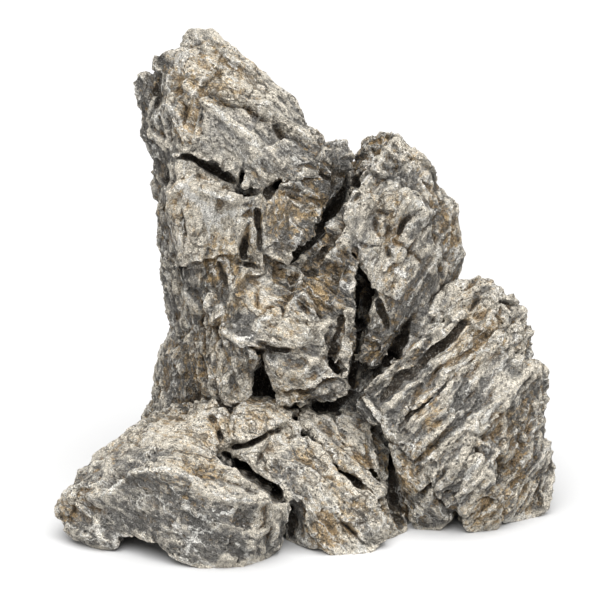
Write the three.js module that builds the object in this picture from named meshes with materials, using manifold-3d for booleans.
// A seiryu stone: one craggy mass of grey limestone, standing on the flat faces of its feet.
// The front is toward -Y, +X is to its right and +Z is up. Lengths are in millimetres.
import * as THREE from 'three';
import { ConvexGeometry } from 'three/addons/geometries/ConvexGeometry.js';
import { mergeVertices } from 'three/addons/utils/BufferGeometryUtils.js';
import Module from 'manifold-3d';

const wasm = await Module();
wasm.setup();

const restLevel = 0; // the height at which the feet are ground flat
const groundDepth = 40; // how far the block that grinds the feet reaches down
const groundWidth = 400; // and across
const tidyTolerance = 0.2; // corners closer than this are joined into one

// Each crag is listed by its corners, [across, back, up], with the step from
// its face to its root inside the stone and how much it narrows on the way there.

const tallPeak = [
  { // the crown, three knobs from right to left
    corners: [[-59, 42, 241], [-57, 42, 246], [-51, 42, 247], [-44, 42, 248], [-40, 42, 244],
      [-38, 40, 238], [-45, 36, 231], [-56, 36, 232]],
    root: [0, 24, -6], narrow: 0.8,
  },
  {
    corners: [[-75, 42, 236], [-72, 40, 238], [-58, 36, 239], [-53, 32, 233], [-54, 28, 221],
      [-60, 26, 212], [-71, 32, 212], [-75, 38, 224]],
    root: [1, 36, -6], narrow: 0.85,
  },
  {
    corners: [[-86, 50, 221], [-84, 50, 226], [-78, 48, 228], [-73, 44, 225], [-71, 42, 213],
      [-79, 44, 205], [-84, 48, 209]],
    root: [5, 24, -8], narrow: 0.8,
  },
  { // the broad sloping face to the right of the crest
    corners: [[-58, 36, 238], [-40, 40, 243], [-25, 42, 233], [-14, 44, 223], [-19, 28, 208],
      [-25, 16, 199], [-37, 16, 210], [-50, 22, 216], [-57, 30, 225]],
    root: [-6, 38, -10], narrow: 0.8,
  },
  {
    corners: [[-14, 44, 223], [-8, 45, 221], [-3, 46, 215], [2, 45, 203], [-2, 30, 188],
      [-19, 12, 182], [-27, 9, 184], [-24, 12, 199], [-19, 26, 211]],
    root: [-6, 36, -8], narrow: 0.8,
  },
  { // the ledge that the sloping face ends on
    corners: [[2, 45, 202], [9, 41, 194], [13, 38, 191], [18, 32, 183], [5, 22, 178],
      [-8, 16, 175], [-19, 10, 173], [-29, 8, 175], [-27, 9, 186], [-10, 20, 196]],
    root: [-3, 36, -4], narrow: 0.85,
  },
  {
    corners: [[11, 40, 189], [18, 42, 193], [24, 42, 193], [26, 42, 189], [27, 40, 183],
      [26, 36, 177], [18, 32, 179], [11, 32, 181]],
    root: [-4, 26, -6], narrow: 0.8,
  },
  { // the smooth facet that juts out over the slot below it
    corners: [[-51, 20, 216], [-37, 14, 210], [-24, 10, 198], [-22, 10, 191], [-30, 8, 178],
      [-39, 10, 181], [-53, 14, 190]],
    root: [-2, 45, 2], narrow: 0.9,
  },
  { // the knobbly flank to the left of that facet
    corners: [[-76, 38, 216], [-68, 32, 217], [-59, 26, 218], [-50, 22, 217], [-49, 19, 203],
      [-51, 16, 189], [-60, 18, 187], [-68, 24, 186], [-76, 34, 194], [-79, 40, 203]],
    root: [3, 44, -4], narrow: 0.85,
  },
  {
    corners: [[-83, 47, 206], [-77, 41, 206], [-71, 34, 196], [-68, 30, 184], [-72, 38, 181],
      [-80, 48, 187], [-84, 50, 194]],
    root: [6, 24, -4], narrow: 0.85,
  },
  {
    corners: [[-74, 42, 183], [-67, 29, 184], [-66, 27, 171], [-72, 38, 157], [-77, 48, 168],
      [-77, 48, 177]],
    root: [5, 30, -8], narrow: 0.85,
  },
];

const leftShoulder = [
  { // the recess under the jutting facet
    corners: [[-68, 26, 188], [-60, 24, 190], [-50, 24, 188], [-39, 22, 182], [-29, 19, 177],
      [-31, 11, 168], [-42, 10, 171], [-55, 11, 174], [-66, 20, 176]],
    root: [0, 36, -8], narrow: 0.9,
  },
  { // the shoulder below it, with a sharp upper edge
    corners: [[-65, 14, 171], [-60, 10, 175], [-49, 6, 174], [-40, 3, 172], [-30, 2, 169],
      [-26, 6, 163], [-28, 3, 146], [-30, 6, 135], [-48, 8, 133], [-57, 10, 131], [-64, 15, 143],
      [-67, 18, 158]],
    root: [2, 42, -6], narrow: 0.9,
  },
  {
    corners: [[-27, 8, 162], [-23, 6, 157], [-20, 6, 145], [-18, 6, 135], [-20, 8, 132],
      [-25, 10, 135], [-27, 9, 147]],
    root: [2, 24, -2], narrow: 0.9,
  },
  { // the flank's upright ribs, from the top down
    corners: [[-75, 48, 153], [-72, 43, 159], [-67, 32, 169], [-61, 20, 163], [-57, 15, 134],
      [-62, 20, 130], [-71, 38, 127], [-74, 48, 136]],
    root: [3, 34, -4], narrow: 0.85,
  },
  {
    corners: [[-73, 48, 132], [-63, 24, 134], [-50, 14, 134], [-47, 14, 115], [-45, 14, 103],
      [-54, 22, 92], [-65, 38, 91], [-71, 46, 100], [-74, 50, 114]],
    root: [3, 36, -4], narrow: 0.85,
  },
  {
    corners: [[-60, 16, 130], [-55, 12, 134], [-47, 9, 135], [-37, 8, 135], [-35, 7, 126],
      [-38, 8, 115], [-45, 10, 107], [-53, 12, 109], [-59, 16, 116]],
    root: [2, 30, 0], narrow: 0.85,
  },
  {
    corners: [[-64, 36, 96], [-55, 24, 97], [-43, 8, 104], [-41, 7, 92], [-42, 9, 61],
      [-44, 10, 38], [-64, 28, 32], [-85, 42, 34], [-80, 44, 54], [-78, 46, 66], [-73, 46, 80]],
    root: [4, 42, -2], narrow: 0.95,
  },
];

const middleSlab = [
  {
    corners: [[-30, 8, 167], [-19, 10, 171], [-14, 14, 168], [0, 22, 171], [11, 30, 178],
      [24, 37, 179], [26, 38, 174], [22, 40, 165], [15, 36, 156], [9, 24, 157], [0, 18, 164],
      [-15, 12, 164], [-25, 8, 163]],
    root: [-2, 32, -8], narrow: 0.85,
  },
  {
    corners: [[-24, 8, 164], [-8, 14, 167], [2, 18, 165], [9, 22, 159], [10, 24, 153], [4, 22, 146],
      [-3, 18, 140], [-8, 12, 134], [-13, 8, 130], [-17, 6, 132], [-19, 6, 142], [-22, 8, 155]],
    root: [0, 30, -4], narrow: 0.85,
  },
  { // the three stacked blocks under the slab, and the rib to their left
    corners: [[-37, 8, 135], [-28, 6, 137], [-19, 4, 132], [-5, 6, 129], [-2, 4, 118], [3, 2, 111],
      [11, 2, 105], [0, -2, 107], [-14, -3, 113], [-26, -4, 107], [-41, 4, 106], [-36, 8, 122]],
    root: [2, 38, -8], narrow: 0.9,
  },
  {
    corners: [[-42, 2, 106], [-26, -4, 109], [-15, -3, 114], [-8, -3, 113], [10, 0, 105],
      [15, 2, 94], [16, 3, 86], [11, 0, 84], [0, -6, 94], [-7, -8, 95], [-19, -10, 99],
      [-30, -12, 99], [-41, -2, 102]],
    root: [-2, 36, -12], narrow: 0.85,
  },
  {
    corners: [[-18, -4, 92], [-8, -4, 93], [1, -4, 93], [11, -2, 86], [24, -2, 76], [25, -2, 70],
      [18, -2, 64], [9, -6, 68], [-6, -7, 64], [-13, -4, 65], [-15, -4, 78]],
    root: [2, 36, -12], narrow: 0.9,
  },
  {
    corners: [[-41, 0, 99], [-30, -10, 99], [-22, -7, 90], [-27, 0, 85], [-30, 2, 76],
      [-28, 4, 60], [-28, 5, 44], [-45, 9, 44], [-45, 8, 79]],
    root: [2, 36, -4], narrow: 0.95,
  },
];

const rightPeak = [
  { // the summit and the darker crag behind it
    corners: [[49, 46, 193], [54, 44, 190], [60, 44, 188], [64, 44, 182], [69, 44, 176],
      [72, 44, 168], [64, 34, 164], [51, 24, 165], [38, 22, 166], [26, 26, 167], [33, 34, 173],
      [41, 42, 181]],
    root: [4, 36, -12], narrow: 0.85,
  },
  {
    corners: [[28, 60, 177], [30, 60, 184], [33, 60, 190], [38, 60, 192], [45, 58, 194],
      [51, 56, 192], [45, 52, 181], [37, 50, 172], [28, 54, 166]],
    root: [5, 26, -8], narrow: 0.8,
  },
  { // the big front face, its right cheek and its lower wedge
    corners: [[26, 24, 170], [38, 20, 168], [51, 20, 167], [64, 32, 166], [73, 44, 167],
      [79, 42, 161], [72, 34, 156], [68, 28, 150], [62, 22, 134], [54, 18, 119], [43, 18, 123],
      [33, 20, 131], [26, 20, 140], [24, 22, 157]],
    root: [4, 42, -8], narrow: 0.9,
  },
  {
    corners: [[73, 44, 168], [80, 44, 161], [83, 44, 153], [85, 44, 142], [86, 44, 128],
      [84, 42, 118], [78, 38, 110], [71, 32, 108], [67, 25, 133], [69, 28, 151]],
    root: [-10, 34, -14], narrow: 0.75,
  },
  {
    corners: [[33, 18, 133], [43, 16, 127], [54, 16, 123], [68, 24, 134], [72, 30, 112],
      [68, 28, 107], [58, 24, 101], [50, 14, 93], [46, 14, 96], [43, 16, 109], [38, 19, 120]],
    root: [2, 42, -10], narrow: 0.9,
  },
  { // the fins that fan out of the cleft beside it, from the upper left round to the right
    corners: [[24, 30, 162], [18, 30, 157], [9, 28, 147], [0, 22, 137], [-6, 16, 131], [-4, 14, 127],
      [5, 16, 131], [15, 22, 141], [24, 26, 150]],
    root: [4, 30, -8], narrow: 0.9,
  },
  {
    corners: [[24, 20, 151], [15, 18, 142], [7, 16, 131], [-2, 10, 118], [-1, 8, 113], [6, 8, 107],
      [11, 8, 105], [17, 12, 119], [22, 16, 133], [26, 18, 140]],
    root: [4, 36, -8], narrow: 0.9,
  },
  {
    corners: [[-10, 10, 127], [-5, 12, 130], [2, 12, 128], [3, 10, 124], [-3, 8, 117], [-7, 8, 120]],
    root: [3, 26, -4], narrow: 0.9,
  },
  {
    corners: [[23, 14, 134], [25, 16, 138], [28, 16, 134], [29, 14, 128], [28, 12, 119],
      [26, 8, 100], [23, 7, 108], [18, 8, 112], [17, 10, 121]],
    root: [0, 34, -4], narrow: 0.9,
  },
  {
    corners: [[11, 8, 106], [18, 8, 112], [21, 7, 107], [18, 6, 93], [16, 6, 83], [13, 6, 89]],
    root: [2, 26, -4], narrow: 0.9,
  },
  {
    corners: [[22, 4, 111], [26, 6, 111], [28, 6, 103], [27, 4, 93], [26, 2, 86], [25, 0, 80],
      [21, -2, 78], [16, 0, 86], [19, 2, 96]],
    root: [0, 32, -2], narrow: 0.9,
  },
  {
    corners: [[36, 20, 114], [40, 18, 118], [44, 14, 107], [47, 12, 97], [48, 10, 90], [44, 8, 82],
      [39, 8, 78], [32, 10, 82], [34, 14, 91]],
    root: [1, 32, -4], narrow: 0.9,
  },
];

const frontLeftLobe = [
  { // the dark upright face, in two halves, and the low left end
    corners: [[-98, -38, 28], [-89, -40, 39], [-78, -44, 45], [-64, -50, 48], [-62, -55, 12],
      [-70, -51, 11], [-80, -45, 15], [-92, -39, 6]],
    root: [0, 46, 0], narrow: 0.9,
  },
  {
    corners: [[-67, -50, 48], [-57, -52, 48], [-47, -56, 43], [-42, -60, 36], [-28, -62, 36],
      [-18, -58, 35], [-12, -50, 33], [-8, -42, 21], [-8, -40, 9], [-10, -42, 2], [-17, -50, 0],
      [-28, -58, -2], [-48, -60, 0], [-60, -57, 3], [-68, -53, 10]],
    root: [0, 44, -6], narrow: 0.85,
  },
  {
    corners: [[-124, -22, 16], [-120, -22, 24], [-115, -22, 27], [-104, -32, 27], [-97, -38, 28],
      [-89, -41, 18], [-90, -41, 2], [-101, -37, -1], [-109, -33, 6], [-119, -26, 9]],
    root: [8, 40, -4], narrow: 0.7,
  },
  { // the slopes above it, from the left end to the crest
    corners: [[-118, -22, 25], [-113, -12, 31], [-107, -4, 37], [-101, 0, 40], [-90, -14, 42],
      [-89, -40, 40], [-98, -39, 28], [-109, -28, 25]],
    root: [6, 30, -22], narrow: 0.8,
  },
  {
    corners: [[-101, 0, 39], [-88, 6, 46], [-78, 10, 52], [-64, -4, 52], [-63, -26, 50],
      [-64, -49, 49], [-78, -44, 45], [-89, -40, 39], [-93, -30, 40]],
    root: [6, 32, -24], narrow: 0.85,
  },
  {
    corners: [[-67, -24, 50], [-61, -20, 51], [-50, -20, 48], [-42, -20, 46], [-34, -28, 39],
      [-24, -36, 36], [-16, -44, 34], [-12, -50, 33], [-20, -59, 35], [-42, -60, 37],
      [-49, -56, 43], [-58, -52, 49], [-65, -50, 49]],
    root: [-4, 22, -22], narrow: 0.85,
  },
  {
    corners: [[-78, 12, 52], [-67, 16, 56], [-60, 18, 58], [-52, 18, 57], [-38, 18, 57],
      [-45, 4, 53], [-40, -10, 48], [-42, -20, 46], [-50, -20, 48], [-61, -20, 51], [-68, -16, 51]],
    root: [2, 24, -22], narrow: 0.9,
  },
  { // the pale slab that lies along the cleft
    corners: [[-45, 14, 57], [-38, 17, 59], [-23, 16, 59], [-16, 16, 61], [-8, 12, 62], [-1, 4, 58],
      [-6, 0, 55], [-19, -6, 51], [-30, -10, 47], [-37, -12, 47], [-43, -2, 51]],
    root: [0, 34, -14], narrow: 0.9,
  },
];

const frontMiddleLobe = [
  { // the boulder leaning on the cleft, and its lower half
    corners: [[-36, -8, 43], [-28, -8, 47], [-19, -8, 50], [-15, -4, 54], [-8, -2, 56], [-3, -4, 54],
      [0, -8, 49], [3, -14, 45], [8, -18, 42], [16, -24, 37], [10, -36, 31], [0, -40, 27],
      [-7, -37, 24], [-14, -35, 26], [-24, -27, 33], [-32, -17, 38]],
    root: [6, 26, -16], narrow: 0.85,
  },
  {
    corners: [[0, -38, 28], [10, -36, 32], [16, -24, 37], [22, -28, 33], [30, -28, 29],
      [37, -30, 23], [42, -32, 16], [44, -34, 9], [43, -36, 4], [37, -40, 0], [33, -43, -2],
      [16, -45, -1], [8, -42, 4], [2, -44, 18]],
    root: [2, 34, -8], narrow: 0.9,
  },
  {
    corners: [[-9, -24, 14], [0, -32, 22], [6, -38, 16], [8, -40, 2], [0, -33, 0], [-7, -26, -1]],
    root: [3, 34, -6], narrow: 0.9,
  },
  { // the slabs that lean against it from the right, in bedding order
    corners: [[-2, 6, 57], [3, 8, 60], [9, 8, 60], [13, 6, 57], [17, 0, 52], [23, -8, 44],
      [30, -14, 38], [35, -18, 33], [40, -22, 26], [38, -25, 24], [33, -24, 26], [26, -20, 34],
      [19, -16, 39], [11, -10, 43], [3, -2, 51]],
    root: [2, 26, -16], narrow: 0.9,
  },
  {
    corners: [[36, -22, 22], [42, -20, 20], [50, -16, 11], [54, -14, 6], [55, -15, 0],
      [51, -20, -3], [44, -26, -2], [42, -26, 8], [39, -26, 17]],
    root: [-1, 26, -6], narrow: 0.8,
  },
  {
    corners: [[17, 8, 55], [26, 8, 54], [32, 8, 55], [37, 2, 52], [35, -6, 46], [35, -10, 39],
      [39, -14, 31], [32, -13, 36], [24, -6, 44]],
    root: [2, 28, -14], narrow: 0.9,
  },
  {
    corners: [[31, 10, 54], [37, 8, 52], [44, 6, 47], [46, 4, 43], [46, 2, 35], [48, 0, 28],
      [47, 0, 22], [43, -4, 20], [39, -8, 26], [35, -4, 36], [33, 0, 43]],
    root: [1, 30, -12], narrow: 0.9,
  },
];

const rightLobe = [
  { // two thin plates along the upper left edge
    corners: [[92, 34, 122], [87, 33, 119], [78, 30, 115], [70, 27, 112], [62, 24, 108],
      [58, 20, 103], [55, 14, 91], [64, 10, 88], [75, 14, 94], [83, 20, 102], [89, 26, 110],
      [96, 32, 118]],
    root: [0, 28, -12], narrow: 0.9,
  },
  {
    corners: [[55, 14, 93], [49, 8, 88], [43, 4, 82], [36, 0, 73], [30, -4, 67], [27, -6, 61],
      [34, -10, 57], [40, -12, 56], [42, -10, 63], [48, -4, 72], [57, 2, 80], [65, 6, 86],
      [75, 12, 95]],
    root: [4, 34, -14], narrow: 0.9,
  },
  { // the long slab beside them
    corners: [[92, 30, 120], [97, 34, 122], [101, 32, 121], [104, 26, 115], [101, 12, 99],
      [97, 6, 90], [86, 0, 80], [76, -4, 74], [65, -8, 66], [58, -10, 61], [50, -14, 54],
      [46, -14, 52], [43, -14, 57], [43, -12, 67], [49, -8, 74], [55, -6, 79], [63, -2, 85],
      [71, 2, 91], [79, 6, 98], [85, 12, 106]],
    root: [4, 32, -16], narrow: 0.9,
  },
  { // the broad front face, its lower half and the foot beside it
    corners: [[100, 8, 96], [106, 7, 90], [112, 6, 83], [117, 6, 76], [109, 1, 72], [101, -6, 66],
      [96, -12, 56], [89, -18, 46], [84, -20, 39], [75, -22, 31], [65, -22, 25], [56, -20, 29],
      [49, -18, 35], [47, -16, 44], [51, -14, 53], [60, -14, 62], [70, -10, 70], [81, -4, 77],
      [91, 2, 86]],
    root: [3, 38, -14], narrow: 0.9,
  },
  {
    corners: [[49, -17, 37], [56, -20, 31], [65, -22, 26], [78, -22, 32], [84, -21, 39],
      [87, -20, 29], [83, -18, 18], [78, -16, 9], [71, -14, -1], [59, -12, -2], [57, -12, 8],
      [52, -12, 20]],
    root: [4, 42, -6], narrow: 0.9,
  },
  {
    corners: [[85, -22, 41], [91, -20, 43], [95, -20, 35], [101, -16, 18], [104, -12, 6],
      [101, -13, -2], [93, -15, -3], [84, -18, 2], [79, -19, 12], [79, -22, 23]],
    root: [2, 44, -6], narrow: 0.9,
  },
  { // the flank on the right, from the top down
    corners: [[102, 26, 117], [104, 26, 114], [109, 28, 114], [114, 28, 108], [116, 26, 101],
      [119, 26, 95], [121, 26, 87], [121, 24, 74], [113, 12, 79], [106, 8, 89], [103, 16, 101]],
    root: [0, 34, -10], narrow: 0.85,
  },
  {
    corners: [[117, 7, 77], [121, 22, 77], [126, 24, 73], [126, 20, 63], [129, 18, 57],
      [130, 14, 44], [127, 8, 37], [112, -4, 40], [96, -14, 42], [94, -13, 51], [96, -10, 59],
      [102, -4, 68], [109, 1, 73]],
    root: [-1, 42, -10], narrow: 0.85,
  },
  {
    corners: [[95, -16, 45], [112, -4, 44], [127, 8, 41], [133, 12, 32], [134, 12, 23],
      [131, 10, 14], [130, 8, 7], [126, 5, -2], [115, 1, -2], [104, -8, 2], [99, -14, 16],
      [93, -18, 34]],
    root: [-1, 44, -8], narrow: 0.9,
  },
];

const leftSide = [
  { // from the top down
    corners: [[-71, 46, 223], [-75, 54, 227], [-70, 64, 227], [-62, 70, 219], [-64, 72, 200],
      [-75, 64, 198], [-79, 52, 206]],
    root: [24, 0, -4], narrow: 0.8,
  },
  {
    corners: [[-79, 50, 200], [-77, 62, 196], [-70, 74, 190], [-69, 78, 170], [-74, 70, 160],
      [-75, 54, 164]],
    root: [26, 0, 0], narrow: 0.85,
  },
  {
    corners: [[-74, 50, 155], [-72, 62, 160], [-69, 76, 150], [-69, 78, 124], [-68, 70, 111],
      [-70, 54, 118]],
    root: [26, 0, -4], narrow: 0.85,
  },
  {
    corners: [[-66, 50, 98], [-66, 64, 102], [-67, 76, 96], [-72, 80, 76], [-78, 68, 58],
      [-78, 50, 62]],
    root: [26, 0, -4], narrow: 0.85,
  },
  {
    corners: [[-84, 44, 36], [-84, 56, 44], [-82, 72, 42], [-82, 80, 20], [-88, 74, -2],
      [-96, 58, -2], [-96, 44, 6]],
    root: [28, 0, -2], narrow: 0.85,
  },
];

const rightSide = [
  { // from the top down
    corners: [[84, 46, 152], [83, 60, 158], [74, 72, 162], [70, 78, 150], [80, 70, 136],
      [85, 58, 130]],
    root: [-24, -2, -6], narrow: 0.8,
  },
  {
    corners: [[84, 50, 126], [85, 60, 130], [78, 74, 134], [72, 82, 118], [76, 80, 104],
      [84, 66, 100], [84, 52, 108]],
    root: [-26, 0, -4], narrow: 0.85,
  },
  {
    corners: [[112, 34, 111], [119, 40, 100], [120, 52, 88], [116, 60, 76], [104, 68, 84],
      [98, 64, 100], [104, 48, 110]],
    root: [-26, 4, -8], narrow: 0.8,
  },
  {
    corners: [[125, 26, 70], [129, 40, 62], [127, 54, 50], [120, 62, 44], [114, 64, 62],
      [118, 52, 76], [122, 36, 77]],
    root: [-26, 2, -6], narrow: 0.85,
  },
  {
    corners: [[133, 18, 26], [132, 34, 30], [127, 50, 34], [120, 60, 20], [118, 58, -2],
      [127, 40, -2], [130, 22, 2]],
    root: [-28, 2, -2], narrow: 0.85,
  },
];

const backOfTallPeak = [
  { // the leaning upper slab and the wedge to its right
    corners: [[-60, 58, 240], [-44, 60, 243], [-28, 66, 228], [-6, 72, 204], [-14, 88, 168],
      [-34, 95, 150], [-56, 86, 176], [-69, 66, 206]],
    root: [2, -26, -8], narrow: 0.85,
  },
  {
    corners: [[-8, 72, 200], [14, 64, 187], [30, 64, 178], [28, 74, 150], [8, 88, 128],
      [-12, 90, 150], [-16, 82, 184]],
    root: [-2, -28, -4], narrow: 0.9,
  },
  { // the long rib on the left, and the slab that slants down beside it
    corners: [[-66, 76, 172], [-50, 90, 166], [-44, 96, 130], [-52, 100, 84], [-66, 90, 62],
      [-74, 78, 90], [-70, 72, 134]],
    root: [6, -34, -2], narrow: 0.9,
  },
  {
    corners: [[-48, 90, 152], [-22, 93, 146], [-2, 90, 120], [14, 90, 96], [4, 96, 72],
      [-24, 101, 92], [-46, 97, 118]],
    root: [0, -38, -2], narrow: 0.9,
  },
  {
    corners: [[-50, 95, 97], [-28, 99, 91], [-8, 98, 70], [2, 94, 44], [-14, 88, -2], [-40, 88, -2],
      [-58, 92, 28], [-56, 95, 64]],
    root: [0, -42, 0], narrow: 0.9,
  },
];

const backOfRightPeak = [
  { // the peak itself, with a knob at its foot
    corners: [[34, 66, 186], [50, 64, 190], [64, 70, 178], [79, 70, 150], [78, 80, 120],
      [58, 92, 118], [38, 86, 150], [28, 74, 166]],
    root: [-2, -28, -8], narrow: 0.85,
  },
  {
    corners: [[12, 82, 140], [26, 76, 142], [33, 82, 124], [22, 90, 108], [8, 90, 116]],
    root: [0, -30, -2], narrow: 0.85,
  },
  { // the slab that slants up to the right, and the flank below its end
    corners: [[4, 92, 108], [30, 86, 122], [56, 93, 116], [83, 77, 106], [83, 83, 84],
      [50, 99, 78], [10, 98, 68]],
    root: [0, -38, -2], narrow: 0.9,
  },
  {
    corners: [[78, 80, 94], [102, 64, 84], [113, 56, 64], [110, 62, 40], [88, 78, 34],
      [70, 90, 58]],
    root: [-8, -34, -2], narrow: 0.85,
  },
];

const backFeet = [
  { // from left to right
    corners: [[-82, 62, 46], [-72, 80, 58], [-56, 90, 52], [-54, 88, 20], [-60, 82, -2],
      [-78, 72, -2], [-92, 58, 4]],
    root: [8, -34, 0], narrow: 0.85,
  },
  {
    corners: [[-4, 96, 58], [28, 98, 67], [54, 96, 58], [66, 90, 30], [54, 82, -2], [10, 84, -2],
      [-6, 88, 22]],
    root: [0, -40, 0], narrow: 0.85,
  },
  {
    corners: [[62, 88, 44], [90, 76, 50], [114, 56, 47], [121, 50, 20], [116, 46, -2], [74, 70, -2],
      [60, 82, 16]],
    root: [-6, -36, 0], narrow: 0.85,
  },
];

const heart = [
  { // the body that every crag grows out of, by height
    corners: [[-50, 34, 206], [-66, 46, 178], [-64, 34, 132], [-30, 22, 168], [0, 40, 174],
      [30, 54, 172], [0, 44, 138], [-10, 26, 122], [-52, 26, 112], [-64, 46, 96]],
    root: [0, 36, 0], narrow: 0.95,
  },
  {
    corners: [[24, 50, 168], [42, 54, 172], [70, 56, 158], [78, 56, 131], [76, 54, 104],
      [32, 48, 106], [0, 42, 112], [0, 48, 128]],
    root: [0, 26, 0], narrow: 0.95,
  },
  {
    corners: [[-52, 26, 108], [16, 42, 114], [76, 50, 106], [78, 38, 72], [70, 20, 24], [16, 22, 58],
      [-36, 20, 60], [-66, 40, 52], [-54, 20, -2], [54, 18, -2]],
    root: [0, 44, 0], narrow: 0.95,
  },
  {
    corners: [[-90, -20, 30], [-26, 0, 39], [-52, 20, 42], [-10, 20, 37], [-91, -20, 8],
      [-26, -38, 6], [-74, -33, 8]],
    root: [10, 50, -4], narrow: 0.9,
  },
  {
    corners: [[-21, 0, 33], [0, 10, 36], [26, 6, 28], [52, 0, 26], [58, -4, 0], [34, -24, 0],
      [0, -24, 0], [-10, -14, 1]],
    root: [4, 42, 0], narrow: 0.95,
  },
  {
    corners: [[54, 10, 38], [94, 30, 96], [113, 30, 80], [68, 14, 60], [62, 4, -2], [124, 22, -2],
      [126, 32, 32], [94, -4, 12]],
    root: [-8, 34, 0], narrow: 0.9,
  },
];

function toManifold(geometry) {
  const bare = geometry.clone();
  bare.deleteAttribute('normal');
  const merged = mergeVertices(bare, tidyTolerance);
  return new wasm.Manifold(new wasm.Mesh({
    numProp: 3,
    vertProperties: new Float32Array(merged.attributes.position.array),
    triVerts: new Uint32Array(merged.index.array),
  }));
}

function toGeometry(manifold) {
  const mesh = manifold.getMesh();
  const geometry = new THREE.BufferGeometry();
  geometry.setAttribute('position', new THREE.BufferAttribute(mesh.vertProperties, 3));
  geometry.setIndex(new THREE.BufferAttribute(mesh.triVerts, 1));
  geometry.computeVertexNormals();
  return geometry;
}

// One crag: the hull of its face and of the same corners drawn in and set back at its root.
function crag({ corners, root, narrow }) {
  const face = corners.map((corner) => new THREE.Vector3(...corner));
  const middle = face.reduce((sum, corner) => sum.add(corner), new THREE.Vector3());
  middle.divideScalar(face.length);
  const back = face.map((corner) => corner.clone().lerp(middle, 1 - narrow).add(new THREE.Vector3(...root)));
  return toManifold(new ConvexGeometry([...face, ...back]));
}

// The block of space below the rest level, which grinds the feet flat.
function ground() {
  const box = new THREE.BoxGeometry(groundWidth, groundWidth, groundDepth);
  box.deleteAttribute('uv');
  box.translate(0, 0, restLevel - groundDepth / 2);
  return toManifold(box);
}

function stoneGeometry() {
  const crags = [
    ...heart, ...tallPeak, ...leftShoulder, ...middleSlab, ...rightPeak, ...frontLeftLobe,
    ...frontMiddleLobe, ...rightLobe, ...leftSide, ...rightSide, ...backOfTallPeak,
    ...backOfRightPeak, ...backFeet,
  ];
  const grown = crags.map(crag).reduce((stone, next) => stone.add(next));
  const rested = grown.subtract(ground()).simplify(tidyTolerance);
  const [outside] = rested.decompose().sort((a, b) => b.volume() - a.volume()); // no sealed hollows
  const geometry = toGeometry(outside);
  geometry.computeBoundingBox();
  const centre = geometry.boundingBox.getCenter(new THREE.Vector3());
  geometry.translate(-centre.x, -centre.y, 0);
  return geometry;
}

const limestone = new THREE.MeshStandardMaterial({ color: 0x8a867e, roughness: 0.9, metalness: 0 });

const stone = new THREE.Mesh(stoneGeometry(), limestone);
stone.name = 'seiryu_stone';

const group = new THREE.Group();
group.add(stone);

export default group;
